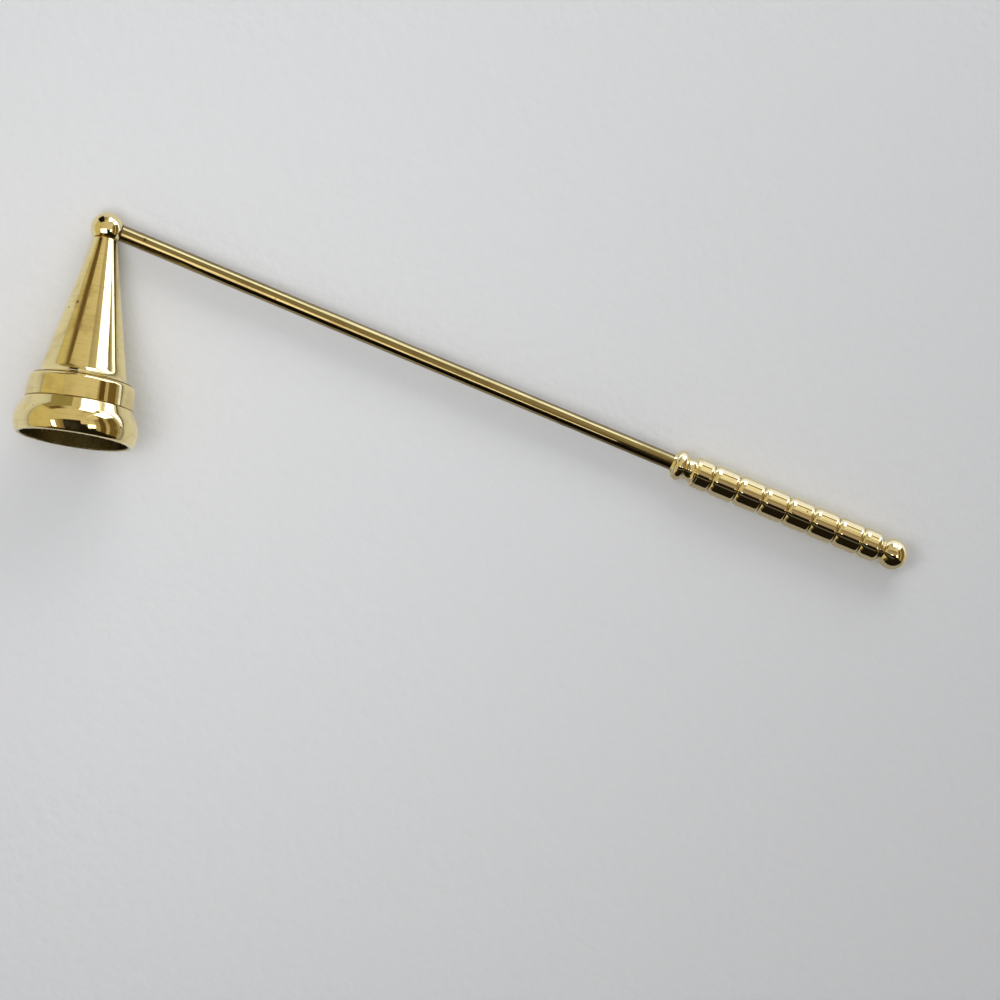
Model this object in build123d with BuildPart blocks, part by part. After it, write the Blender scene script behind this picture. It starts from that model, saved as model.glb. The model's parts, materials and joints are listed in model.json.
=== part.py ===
from build123d import *
import os
from math import acos, asin, atan2, cos, hypot, radians, sin, sqrt

# Candle snuffer of polished brass, all lengths in millimetres, angles in degrees.
# It lies on its side on the table, z = 0, as it is put down: the rod runs along X from the knob to the
# pommel, and the bell points towards -Y. It touches the table with knob, pommel and the bell's belt.
# The origin is on the table, under the middle of the footprint.
# Every drop is measured from the knob's centre along the bell's axis, every reach from the knob's
# centre along the rod, and every height from the plane of the bell's mouth back towards the knob.

# Rod
rod_radius = 2.5
rod_edge = 0.3             # bevel at both ends
rod_shoulder = 0.5         # step down to the tail that runs through the grip into the pommel
tail_past_seat = 5.5       # how far the tail goes into the pommel

# Knob: the ball that carries both the bell and the rod
knob_radius = 5.0
rod_lift = 0.5             # the rod's axis passes the knob's centre by this much, away from the bell
seat_web = 1.0             # metal between the rod's socket and the flat that the bell is drawn up against
rod_web = 0.92             # metal between the rod's end and the tapped hole
knob_tap_run = 0.4         # how much deeper the tapped hole goes than the screw

# Bell, outside, from the knob to the mouth
bell_length = 62.1
tip_radius = 3.5
tip_bevel = 0.3
cove_rise = 2.15           # from the cone's foot out to the flare's edge
flare_length = 2.5         # from the cone's foot to the first fine line
flare_step = 0.05          # the flare ends this much inside the shoulder
nick_width = 0.3           # the fine turned line between flare and shoulder
nick_depth = 0.3
shoulder_length = 1.2
shoulder_step = 1.0        # the round shoulder draws in from the band by this much
band_length = 5.85
band_radius = 16.45        # at the band's foot
band_taper = 0.35          # how much less it is at the band's top
crease_width = 0.3         # the fine turned line between band and foot moulding
crease_depth = 0.25
hollow_length = 2.67       # from the crease to the belt's round
belt_stand = 2.4           # the widest ring stands out from the band's foot by this much
belt_curve = 7.8           # radius of the belt's round
belt_top_angle = 29.0      # how far the round runs up from the widest ring
belt_foot_angle = 27.5     # and how far it runs down to the tight curl of the lip
lip_curl = 0.93            # radius of that curl

# Bell, inside
mouth_wall = 2.6           # from the widest ring in to the mouth
lip_bevel = 0.25
bore_taper_length = 3.0    # between the mouth's bore and the band's
bore_foot_setback = 1.8    # the band's bore starts this much below the crease
bore_top_setback = 0.8     # and ends this much short of the shoulder
band_wall = 1.2
cone_wall = 1.2
tip_wall = 4.0             # from the knob's flat to the floor that the screw's head bears on
head_room_gap = 0.5        # around the screw's head

# Bell screw: slotted cheese head, put in from the mouth
screw_radius = 1.25
screw_length = 8.0
screw_head_radius = 2.25
screw_head_height = 1.6
slot_width = 0.6
slot_depth = 0.8
screw_point = 0.3

# Grip: a bead, a cove and eight barrels turned on one bar
grip_front_reach = 186.0
grip_face_rim = 0.2        # flat ring around the rod on the grip's front face
grip_face_bevel = 0.7
bead_run = 2.65            # from the grip's front face to the middle of the bead
bead_radius = 4.75
bead_curve = 2.0
cove_radius = 3.43
cove_curve = 2.14
crest_land = 0.27          # between the cove's edge and the fine line before the first barrel
line_width = 0.5
line_depth = 0.3
barrel_radius = 4.8
barrel_count = 8
first_barrel_length = 5.02  # from the fine line to the middle of the first groove
barrel_pitch = 8.43
last_barrel_length = 6.6
groove_depth = 0.85
front_round = 2.8          # radius of each barrel's shoulder towards the knob
back_round = 1.9           # and towards the pommel
last_shoulder_drop = 1.3   # how far the last barrel closes down to the pommel's neck
rod_socket_depth = 12.0

# Pommel: the ball nut on the rod's tail
pommel_radius = 4.9
pommel_neck_step = 0.2     # the neck is this much less than the end of the grip
pommel_neck_length = 0.88
pommel_tap_run = 0.5

# Clearances
thread_gap = 0.03          # tapped holes, drawn plain at the thread's outer diameter
solder_gap = 0.03          # around the rod's end in the knob
slide_gap = 0.05           # around the rod and its tail in the grip
screw_gap = 0.15           # around the screw in the bell

# Radii and heights of the bell
band_top_radius = band_radius - band_taper
shoulder_top_radius = band_top_radius - shoulder_step
flare_radius = shoulder_top_radius - flare_step
cone_foot_radius = flare_radius - cove_rise
belt_radius = band_radius + belt_stand
belt_centre_radius = belt_radius - belt_curve
mouth_radius = belt_radius - mouth_wall
belt_foot_sine = sin(radians(belt_foot_angle))
belt_height = belt_curve * belt_foot_sine + lip_curl * (1 - belt_foot_sine)
belt_top_height = belt_height + belt_curve * sin(radians(belt_top_angle))
crease_height = belt_top_height + hollow_length + crease_width / 2
band_top_height = crease_height + crease_width / 2 + band_length
nick_height = band_top_height + shoulder_length + nick_width / 2
cone_foot_height = nick_height + nick_width / 2 + flare_length

# Places along the bell's axis
seat_drop = rod_radius - rod_lift + seat_web
mouth_drop = seat_drop + bell_length
belt_drop = mouth_drop - belt_height
bell_floor_drop = seat_drop + tip_wall
screw_tip_drop = bell_floor_drop - screw_length

# The grip's outline: the cove's circle touches the bead's and ends on the barrels' radius
bead_reach = grip_front_reach + bead_run
bead_centre_radius = bead_radius - bead_curve
cove_centre_radius = cove_radius + cove_curve
cove_rise_radius = cove_centre_radius - bead_centre_radius
cove_reach = bead_reach + sqrt((bead_curve + cove_curve) ** 2 - cove_rise_radius**2)
crest_reach = cove_reach + sqrt(cove_curve**2 - (cove_centre_radius - barrel_radius) ** 2)
line_reach = crest_reach + crest_land + line_width / 2
first_groove_reach = line_reach + first_barrel_length
grip_end_reach = first_groove_reach + (barrel_count - 2) * barrel_pitch + last_barrel_length
grip_end_radius = barrel_radius - last_shoulder_drop
pommel_neck_radius = grip_end_radius - pommel_neck_step
pommel_reach = grip_end_reach + pommel_neck_length + sqrt(pommel_radius**2 - pommel_neck_radius**2)

# The head is set at the angle that lets the snuffer also stand on its mouth with the pommel
# touching the same table.
pommel_distance = hypot(pommel_reach, rod_lift)
head_angle = acos((mouth_drop - pommel_radius) / pommel_distance) - atan2(rod_lift, pommel_reach)

# Lying down, the bell's axis climbs from the knob until the belt's round just touches the table,
# and the rod dips until the pommel does.
belt_hypotenuse = hypot(belt_drop, belt_centre_radius)
bell_climb = acos((knob_radius - belt_curve) / belt_hypotenuse) - atan2(belt_drop, belt_centre_radius)
lift_run = rod_lift / sin(head_angle)
pommel_drop = knob_radius - pommel_radius - lift_run * sin(bell_climb)
rod_dip = asin(pommel_drop / (pommel_reach + lift_run * cos(head_angle)))
rod_way = Vector(cos(rod_dip), 0, -sin(rod_dip))
up_way = Vector(sin(rod_dip), 0, cos(rod_dip))
head_turn = asin((sin(bell_climb) + cos(head_angle) * sin(rod_dip)) / (sin(head_angle) * cos(rod_dip)))
side_way = Vector(0, -cos(head_turn), 0) + up_way * sin(head_turn)
bell_way = rod_way * cos(head_angle) + side_way * sin(head_angle)
turn_normal = rod_way.cross(side_way)

# The footprint reaches from the knob to the pommel, and from the pommel's far side to the lip's curl.
lip_start_drop = belt_drop + belt_curve * belt_foot_sine
lip_start_radius = belt_centre_radius + belt_curve * cos(radians(belt_foot_angle))
lip_centre_radius = lip_start_radius - lip_curl * cos(radians(belt_foot_angle))
pommel_offset = rod_way * pommel_reach - side_way * rod_lift
across = hypot(bell_way.X, bell_way.Z)
bell_side = (mouth_drop - lip_curl) * bell_way.Y - lip_centre_radius * across - lip_curl
footprint_middle_x = (pommel_offset.X + pommel_radius - knob_radius) / 2
footprint_middle_y = (pommel_offset.Y + pommel_radius + bell_side) / 2

# Each turned piece is drawn as a half section: first coordinate along its axis, second the radius.
knob_centre = Vector(-footprint_middle_x, -footprint_middle_y, knob_radius)
rod_start = knob_centre - side_way * rod_lift
bell_plane = Plane(origin=knob_centre, x_dir=bell_way, z_dir=turn_normal)
rod_plane = Plane(origin=rod_start, x_dir=rod_way, z_dir=turn_normal)
bell_axis = Axis(knob_centre, bell_way)
rod_axis = Axis(rod_start, rod_way)


def across_rod(reach, facing=1):
    """Plane square to the rod at a reach, facing the pommel (1) or the knob (-1)."""
    return Plane(origin=rod_start + rod_way * reach, x_dir=turn_normal, z_dir=rod_way * facing)


def across_bell(drop):
    """Plane square to the bell's axis at a drop, facing the mouth."""
    return Plane(origin=knob_centre + bell_way * drop, x_dir=turn_normal, z_dir=bell_way)


os.makedirs("parts", exist_ok=True)

# Bell: a turned hollow cone on a stepped band and a rounded foot moulding
cone_foot_drop = mouth_drop - cone_foot_height
nick_drop = mouth_drop - nick_height
band_top_drop = mouth_drop - band_top_height
crease_drop = mouth_drop - crease_height
belt_top_drop = mouth_drop - belt_top_height
belt_top_radius = belt_centre_radius + belt_curve * cos(radians(belt_top_angle))
screw_hole_radius = screw_radius + screw_gap
head_room_radius = screw_head_radius + head_room_gap
band_bore_radius = band_top_radius - band_wall
band_bore_foot_drop = crease_drop + bore_foot_setback
band_bore_top_drop = band_top_drop + bore_top_setback
cone_way = (cone_foot_drop - seat_drop - tip_bevel, cone_foot_radius - tip_radius)
band_way = (band_length, band_radius - band_top_radius)
moulding_way = (-cos(radians(belt_top_angle)), -sin(radians(belt_top_angle)))
lip_way = (cos(radians(belt_foot_angle)), -belt_foot_sine)
with BuildPart() as bell:
    with BuildSketch(bell_plane):
        with BuildLine():
            # the flat top and the straight cone
            cone = Polyline(
                (seat_drop, screw_hole_radius),
                (seat_drop, tip_radius - tip_bevel),
                (seat_drop + tip_bevel, tip_radius),
                (cone_foot_drop, cone_foot_radius),
            )
            # the cove that flares out to the fine line
            flare_end = (nick_drop - nick_width / 2, flare_radius)
            TangentArc(cone @ 1, flare_end, tangent=cone_way)
            nick = Polyline(
                flare_end,
                (nick_drop, flare_radius - nick_depth),
                (nick_drop + nick_width / 2, shoulder_top_radius),
            )
            # the round shoulder, drawn back from the band
            TangentArc((band_top_drop, band_top_radius), nick @ 1, tangent=(-band_way[0], -band_way[1]))
            band = Polyline(
                (band_top_drop, band_top_radius),
                (crease_drop - crease_width / 2, band_radius),
                (crease_drop, band_radius - crease_depth),
                (crease_drop + crease_width / 2, band_radius),
            )
            # the foot moulding: a hollow that runs into the belt's round, then the lip's tight curl
            TangentArc((belt_top_drop, belt_top_radius), band @ 1, tangent=moulding_way)
            belt = ThreePointArc(
                (belt_top_drop, belt_top_radius),
                (belt_drop, belt_radius),
                (lip_start_drop, lip_start_radius),
            )
            lip = TangentArc(belt @ 1, (mouth_drop, lip_centre_radius), tangent=lip_way)
            # the mouth's flat rim, the bore of the foot and band, and the inside of the cone
            Polyline(
                lip @ 1,
                (mouth_drop, mouth_radius + lip_bevel),
                (mouth_drop - lip_bevel, mouth_radius),
                (band_bore_foot_drop + bore_taper_length, mouth_radius),
                (band_bore_foot_drop, band_bore_radius),
                (band_bore_top_drop, band_bore_radius),
                (cone_foot_drop, cone_foot_radius - cone_wall),
                (bell_floor_drop, head_room_radius),
                (bell_floor_drop, screw_hole_radius),
                (seat_drop, screw_hole_radius),
            )
        make_face()
    revolve(axis=bell_axis)
bell.part.label = "bell"
export_step(bell.part, "parts/bell.step")

# Bell screw: it passes through the tip of the bell and draws the bell up against the knob
with BuildPart() as bell_screw:
    with BuildSketch(across_bell(bell_floor_drop)):
        Circle(screw_head_radius)
    extrude(amount=screw_head_height)
    with BuildSketch(across_bell(screw_tip_drop)):
        Circle(screw_radius)
    extrude(amount=screw_length)
    chamfer(bell_screw.edges().sort_by(bell_axis)[0], length=screw_point)
    with BuildSketch(across_bell(bell_floor_drop + screw_head_height)):
        Rectangle(slot_width, 2 * screw_head_radius)
    extrude(amount=-slot_depth, mode=Mode.SUBTRACT)
bell_screw.part.label = "bell_screw"
export_step(bell_screw.part, "parts/bell_screw.step")

# Knob: a ball with a flat and a tapped hole for the bell, and a blind socket for the rod
tap_radius = screw_radius + thread_gap
tap_end_drop = screw_tip_drop - knob_tap_run
flat_radius = sqrt(knob_radius**2 - seat_drop**2)
rod_root_reach = tap_radius + rod_web
with BuildPart() as knob:
    with BuildSketch(bell_plane):
        with BuildLine():
            Polyline(
                (-knob_radius, 0),
                (tap_end_drop, 0),
                (tap_end_drop, tap_radius),
                (seat_drop, tap_radius),
                (seat_drop, flat_radius),
            )
            ThreePointArc((seat_drop, flat_radius), (0, knob_radius), (-knob_radius, 0))
        make_face()
    revolve(axis=bell_axis)
    with BuildSketch(across_rod(rod_root_reach)):
        Circle(rod_radius + solder_gap)
    extrude(amount=knob_radius, mode=Mode.SUBTRACT)
knob.part.label = "knob"
export_step(knob.part, "parts/knob.step")

# Rod: soldered into the knob, stepped down inside the grip to a threaded tail
shoulder_reach = grip_front_reach + rod_socket_depth
tail_radius = rod_radius - rod_shoulder
tail_end_reach = grip_end_reach + tail_past_seat
with BuildPart() as rod:
    with BuildSketch(across_rod(rod_root_reach)):
        Circle(rod_radius)
    extrude(amount=shoulder_reach - rod_root_reach)
    with BuildSketch(across_rod(shoulder_reach)):
        Circle(tail_radius)
    extrude(amount=tail_end_reach - shoulder_reach)
    ends = rod.edges().filter_by(GeomType.CIRCLE).sort_by(rod_axis)
    chamfer([ends[0], ends[-1]], length=rod_edge)
rod.part.label = "rod"
export_step(rod.part, "parts/rod.step")

# Grip: one turned bar, clamped between the rod's shoulder and the pommel
grip_face_radius = rod_radius + slide_gap + grip_face_rim
bevel_radius = grip_face_radius + grip_face_bevel
# the bead starts on its round where the face's bevel meets it
bead_start_reach = bead_reach - sqrt(bead_curve**2 - (bevel_radius - bead_centre_radius) ** 2)
# the bead passes into the cove on the line between their centres
join_share = bead_curve / (bead_curve + cove_curve)
join_reach = bead_reach + (cove_reach - bead_reach) * join_share
join_radius = bead_centre_radius + (cove_centre_radius - bead_centre_radius) * join_share
# how long each shoulder's round is when it has dropped to the groove's bottom
front_length = sqrt(front_round**2 - (front_round - groove_depth) ** 2)
back_length = sqrt(back_round**2 - (back_round - groove_depth) ** 2)
last_length = sqrt(back_round**2 - (back_round - last_shoulder_drop) ** 2)
groove_radius = barrel_radius - groove_depth
with BuildPart() as grip:
    with BuildSketch(rod_plane):
        with BuildLine():
            Polyline(
                (grip_front_reach, 0),
                (grip_front_reach, grip_face_radius),
                (bead_start_reach, bevel_radius),
            )
            bead_start = (bead_start_reach, bevel_radius)
            bead_end = (join_reach, join_radius)
            ThreePointArc(bead_start, (bead_reach, bead_radius), bead_end)
            ThreePointArc(bead_end, (cove_reach, cove_radius), (crest_reach, barrel_radius))
            front = Polyline(
                (crest_reach, barrel_radius),
                (line_reach - line_width / 2, barrel_radius),
                (line_reach, barrel_radius - line_depth),
                (line_reach + line_width / 2, barrel_radius),
            )
            barrel_start = front @ 1
            for groove in range(barrel_count - 1):
                groove_reach = first_groove_reach + groove * barrel_pitch
                body = Line(barrel_start, (groove_reach - back_length, barrel_radius))
                back = TangentArc(body @ 1, (groove_reach, groove_radius), tangent=(1, 0))
                next_start = (groove_reach + front_length, barrel_radius)
                TangentArc(next_start, back @ 1, tangent=(-1, 0))
                barrel_start = next_start
            body = Line(barrel_start, (grip_end_reach - last_length, barrel_radius))
            TangentArc(body @ 1, (grip_end_reach, grip_end_radius), tangent=(1, 0))
            Polyline(
                (grip_end_reach, grip_end_radius),
                (grip_end_reach, 0),
                (grip_front_reach, 0),
            )
        make_face()
    revolve(axis=rod_axis)
    with Locations(across_rod(grip_front_reach, facing=-1)):
        CounterBoreHole(
            radius=tail_radius + slide_gap,
            counter_bore_radius=rod_radius + slide_gap,
            counter_bore_depth=rod_socket_depth,
            depth=grip_end_reach - grip_front_reach,
        )
grip.part.label = "grip"
export_step(grip.part, "parts/grip.step")

# Pommel: a ball on a short neck, screwed on the rod's tail
pommel_tap_radius = tail_radius + thread_gap
pommel_tap_end = tail_end_reach + pommel_tap_run
with BuildPart() as pommel:
    with BuildSketch(rod_plane):
        with BuildLine():
            neck = Polyline(
                (pommel_reach + pommel_radius, 0),
                (pommel_tap_end, 0),
                (pommel_tap_end, pommel_tap_radius),
                (grip_end_reach, pommel_tap_radius),
                (grip_end_reach, pommel_neck_radius),
                (grip_end_reach + pommel_neck_length, pommel_neck_radius),
            )
            ThreePointArc(neck @ 1, (pommel_reach, pommel_radius), neck @ 0)
        make_face()
    revolve(axis=rod_axis)
pommel.part.label = "pommel"
export_step(pommel.part, "parts/pommel.step")
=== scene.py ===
import bmesh
import bpy
import json
from math import asin, atan2, cos, degrees, pi, radians, sin, sqrt, tau
from mathutils import Matrix, Vector


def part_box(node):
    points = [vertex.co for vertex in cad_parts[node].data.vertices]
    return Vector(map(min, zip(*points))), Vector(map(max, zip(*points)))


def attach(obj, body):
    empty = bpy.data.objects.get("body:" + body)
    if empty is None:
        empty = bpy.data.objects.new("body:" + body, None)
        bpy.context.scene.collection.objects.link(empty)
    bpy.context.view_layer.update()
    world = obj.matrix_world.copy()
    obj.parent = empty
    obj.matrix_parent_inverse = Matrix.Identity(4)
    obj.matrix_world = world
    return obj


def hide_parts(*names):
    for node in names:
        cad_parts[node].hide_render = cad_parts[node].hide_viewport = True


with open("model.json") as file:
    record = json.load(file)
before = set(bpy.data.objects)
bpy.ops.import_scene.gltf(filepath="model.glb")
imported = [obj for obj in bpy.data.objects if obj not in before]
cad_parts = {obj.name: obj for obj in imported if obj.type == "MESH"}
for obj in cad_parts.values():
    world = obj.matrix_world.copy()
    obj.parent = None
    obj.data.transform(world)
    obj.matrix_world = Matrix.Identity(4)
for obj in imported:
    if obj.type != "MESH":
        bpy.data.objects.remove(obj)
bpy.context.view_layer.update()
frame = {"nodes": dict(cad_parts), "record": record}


# Camera: held above the middle of the snuffer, leaning a little, with the picture turned on the
# floor. Sizes are written in millimetres all through, and mm makes them metres.
mm = 0.001
camera_place = Vector((-78.72, 62.88, 919.56)) * mm
camera_aim = Vector((11.73, 0.06, 0)) * mm
camera_turn = radians(22.795)  # the picture's right-hand way, turned from X about the upright
camera_lens = 108
camera_film = 36
camera_nearest = 10 * mm


def shown(name, data):
    """An object in the scene for this mesh, camera or lamp."""
    thing = bpy.data.objects.new(name, data)
    bpy.context.scene.collection.objects.link(thing)
    return thing


picture_up = Vector((-sin(camera_turn), cos(camera_turn), 0))
look = (camera_aim - camera_place).normalized()
right = look.cross(picture_up).normalized()
camera = shown("camera", bpy.data.cameras.new("camera"))
camera.data.sensor_width = camera_film
camera.data.lens = camera_lens
camera.data.clip_start = camera_nearest
camera_ways = Matrix((right, right.cross(look), -look)).transposed()
camera.matrix_world = Matrix.Translation(camera_place) @ camera_ways.to_4x4()
bpy.context.scene.camera = camera


# Rod: drawn brass rod, soldered into the knob's blind socket. Inside the grip it steps down to a
# thinner tail with a thread at its end, which the pommel screws on to.
rod_radius = 2.5 * mm
rod_around = 96  # points round it
rod_lift = 0.5 * mm  # its axis passes the knob's centre by this much, away from the bell
rod_root_reach = 2.2 * mm  # a reach runs along the rod from beside the knob's centre
rod_edge = 0.3 * mm
rod_edge_break = 0.08 * mm
tail_radius = 2.0 * mm
tail_past_grip = 5.5 * mm
thread_pitch = 0.7 * mm
thread_depth = 0.36 * mm
thread_turns = 8
thread_points = 36  # on each turn
grip_front_reach = 186.0 * mm
grip_length = 70.398 * mm
rod_socket_depth = 12.0 * mm
rod_colour = (0.32, 0.25, 0.11)
# the rod's tarnish colour, which also colours the painted reflection of the knob at that end
rod_tarnish_and_reflection = (0.16, 0.105, 0.035)
knob_reflection_reach = 4.0 * mm  # painted reflection of the knob: a brown patch on the rod next to it, at least this long
knob_reflection_ragged = 9.0 * mm  # and up to this much further where it is ragged
pit_reach = 11.8 * mm  # a small dark pit on the side that faces up
pit_radius = 0.6 * mm
pit_lean = 0.35  # how far it is turned from the top, away from the bell

# the snuffer lies on its side along X, on its knob and pommel, which are balls
knob_radius = 5.0 * mm
pommel_radius = 4.9 * mm
knob_low, knob_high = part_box("knob")
pommel_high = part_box("pommel")[1]
knob_centre = Vector((knob_low.x + knob_radius, knob_high.y - knob_radius, knob_radius))
pommel_centre = Vector((pommel_high.x - pommel_radius, pommel_high.y - pommel_radius, pommel_radius))
bell_way = Vector(frame["record"]["mounts"][0]["axis"]).normalized()
side_way = (bell_way - Vector((bell_way.x, 0, 0))).normalized()
rod_start = knob_centre - side_way * rod_lift
rod_way = (pommel_centre - rod_start).normalized()
pommel_reach = (pommel_centre - rod_start).length


def eased(points, radius, steps=4, blunt=radians(12)):
    """The half section with each corner that turns more than blunt rounded, by radius or what fits."""
    out = [points[0]]
    for before, here, after in zip(points, points[1:], points[2:]):
        a, b, c = Vector(before), Vector(here), Vector(after)
        first, second = (b - a), (c - b)
        turn = first.angle_signed(second, 0)
        if abs(turn) < blunt:
            out.append(here)
            continue
        room = 0.45 * min(first.length, second.length)
        cut = min(radius * abs(sin(turn / 2) / cos(turn / 2)), room)
        start, end = b - first.normalized() * cut, b + second.normalized() * cut
        for i in range(steps + 1):
            share = i / steps
            p = start * (1 - share) ** 2 + b * 2 * share * (1 - share) + end * share**2
            out.append((p.x, p.y))
    return out + [points[-1]]


def guarded(points, guard):
    """The half section with a point close to both ends of each long straight run, to shade it flat."""
    out = [points[0]]
    for a, b in zip(points, points[1:]):
        a, b = Vector(a), Vector(b)
        if (b - a).length > 6 * guard:
            way = (b - a).normalized() * guard
            out += [tuple(a + way), tuple(b - way)]
        out.append(tuple(b))
    return out


def made(name, shape):
    """The object of a finished shape, with its faces turned outwards and shaded smooth."""
    bmesh.ops.recalc_face_normals(shape, faces=shape.faces)
    mesh = bpy.data.meshes.new(name)
    shape.to_mesh(mesh)
    shape.free()
    mesh.shade_smooth()
    return shown(name, mesh)


def turned(name, section, origin, way, around, edge_break, guard=0.06 * mm, weld=0.0001 * mm):
    """A turned piece: the half section (along, out) with its edges broken, swung round an axis."""
    up = way.orthogonal().normalized()
    across = way.cross(up)
    shape = bmesh.new()
    rings = []
    for along, out in guarded(eased(section, edge_break), guard):
        middle = origin + way * along
        if out < weld:
            rings.append([shape.verts.new(middle)])
            continue
        spokes = [up * cos(tau * i / around) + across * sin(tau * i / around) for i in range(around)]
        rings.append([shape.verts.new(middle + spoke * out) for spoke in spokes])
    for one, two in zip(rings, rings[1:]):
        if len(one) == len(two) == 1:
            continue
        for i in range(around):
            j = (i + 1) % around
            corners = [one[i % len(one)], one[j % len(one)], two[j % len(two)], two[i % len(two)]]
            shape.faces.new(list(dict.fromkeys(corners)))
    bmesh.ops.remove_doubles(shape, verts=shape.verts, dist=weld)
    return made(name, shape)


def add(tree, kind, inputs, **settings):
    """A node with its own settings, and its inputs set to values or wired from other nodes' outputs."""
    node = tree.nodes.new(kind)
    for key, value in settings.items():
        setattr(node, key, value)
    for key, value in inputs.items():
        if isinstance(value, bpy.types.NodeSocket):
            tree.links.new(value, node.inputs[key])
        else:
            node.inputs[key].default_value = value
    return node


def worked(tree, operation, *values):
    """The result of one sum."""
    return add(tree, "ShaderNodeMath", dict(enumerate(values)), operation=operation).outputs[0]


def times(tree, value, factor):
    """The value made this many times as strong."""
    return worked(tree, "MULTIPLY", value, factor)


def strongest(tree, *masks):
    """The strongest of these masks at each spot."""
    top = masks[0]
    for mask in masks[1:]:
        top = worked(tree, "MAXIMUM", top, mask)
    return top


def rougher(tree, dirt, clean, more):
    """Roughness: this where the metal is clean, and up to this much more where it is dirty."""
    return worked(tree, "MULTIPLY_ADD", dirt, more, clean)


def ramped(tree, value, start, end):
    """0 up to start, 1 from end, and a smooth rise between. With end below start it falls instead."""
    inputs = {"Value": value, "From Min": min(start, end), "From Max": max(start, end)}
    inputs.update({"To Min": float(end < start), "To Max": float(end > start)})
    return add(tree, "ShaderNodeMapRange", inputs, interpolation_type="SMOOTHSTEP").outputs["Result"]


def grained(tree, place, stretch, scale, detail=3.0):
    """Noise in a space stretched by this much along each of the piece's own ways."""
    spread = add(tree, "ShaderNodeVectorMath", {0: place, 1: stretch}, operation="MULTIPLY").outputs[0]
    noise = {"Vector": spread, "Scale": scale, "Detail": detail}
    return add(tree, "ShaderNodeTexNoise", noise).outputs["Fac"]


def specks(tree, place, spacing, size, rare=5.0):
    """Small dark specks, 0 to 1, a few to each cube of this spacing, none larger than size."""
    cells = add(tree, "ShaderNodeTexVoronoi", {"Vector": place, "Scale": 1 / spacing})
    chance = add(tree, "ShaderNodeSeparateColor", {"Color": cells.outputs["Color"]}).outputs["Red"]
    reach = times(tree, worked(tree, "POWER", chance, rare), size / spacing)
    return ramped(tree, worked(tree, "SUBTRACT", cells.outputs["Distance"], reach), 0.03, -0.02)


def stood(origin, way):
    """The move that takes a shape made along Z to this origin, pointing this way."""
    return Matrix.Translation(origin) @ way.to_track_quat("Z", "Y").to_matrix().to_4x4()


def laid_back(way):
    """The turn that brings this way back to Z."""
    return way.to_track_quat("Z", "Y").to_matrix().transposed()


def brass(name, colour, tarnish, origin, way, finish, relief=0.004 * mm):
    """Polished brass. Its texture space is in millimetres, from origin, with Z along the piece's axis.
    finish adds what this piece shows, and gives tarnish (0 to 1), roughness and height."""
    material = bpy.data.materials.new(name)
    material.use_nodes = True
    tree = material.node_tree
    shader = tree.nodes["Principled BSDF"]
    shader.inputs["Metallic"].default_value = 1.0
    place = add(tree, "ShaderNodeMapping", {
        "Vector": tree.nodes.new("ShaderNodeTexCoord").outputs["Object"],
        "Scale": (1 / mm, 1 / mm, 1 / mm),
        "Rotation": laid_back(way).to_euler(),
        "Location": laid_back(way) @ -origin / mm,
    })
    dirt, roughness, height = finish(tree, place.outputs["Vector"])
    paint = add(tree, "ShaderNodeMix", {"Factor": dirt}, data_type="RGBA")
    paint.inputs["A"].default_value = (*colour, 1)
    paint.inputs["B"].default_value = (*tarnish, 1)
    tree.links.new(paint.outputs["Result"], shader.inputs["Base Color"])
    tree.links.new(roughness, shader.inputs["Roughness"])
    bump = add(tree, "ShaderNodeBump", {"Height": height, "Distance": relief, "Strength": 1.0})
    tree.links.new(bump.outputs["Normal"], shader.inputs["Normal"])
    return material


pit_side = Vector((0, 0, 1)) - side_way * pit_lean
pit_side = (pit_side - rod_way * pit_side.dot(rod_way)).normalized()
pit_place = laid_back(rod_way) @ (rod_way * pit_reach + pit_side * rod_radius) / mm


def rod_finish(tree, place):
    """Lines drawn along the rod, clouds of tarnish, a brown painted reflection of the knob next to it,
    and one pit.
    """
    lines = grained(tree, place, stretch=(1, 1, 0.012), scale=3.2, detail=4.0)
    clouds = grained(tree, place, stretch=(1, 1, 0.35), scale=0.22)
    reach = add(tree, "ShaderNodeSeparateXYZ", {"Vector": place}).outputs["Z"]
    # painted reflection of the knob: a ragged brown patch on the rod where it meets the ball
    ragged = worked(tree, "MULTIPLY_ADD", clouds, -knob_reflection_ragged / mm, reach)
    knob_reflection = ramped(tree, ragged, knob_reflection_reach / mm, (knob_reflection_reach - knob_reflection_ragged) / mm)
    from_pit = add(tree, "ShaderNodeVectorMath", {0: place, 1: pit_place}, operation="DISTANCE")
    pit = ramped(tree, from_pit.outputs["Value"], pit_radius / mm * 1.2, pit_radius / mm * 0.5)
    streaks = times(tree, ramped(tree, lines, 0.42, 0.7), 0.4)
    dirt = worked(tree, "MULTIPLY_ADD", ramped(tree, clouds, 0.4, 0.75), 0.35, streaks)
    # the mix holds real tarnish, specks and pit together with the painted reflection of the knob
    dirt = strongest(tree, dirt, knob_reflection, pit, specks(tree, place, spacing=2.6, size=0.5))
    height = worked(tree, "SUBTRACT", times(tree, lines, 0.5), times(tree, pit, 6.0))
    return dirt, rougher(tree, dirt, clean=0.09, more=0.18), height


rod_brass = brass("rod_brass_drawn", rod_colour, rod_tarnish_and_reflection, rod_start, rod_way, rod_finish)

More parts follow.
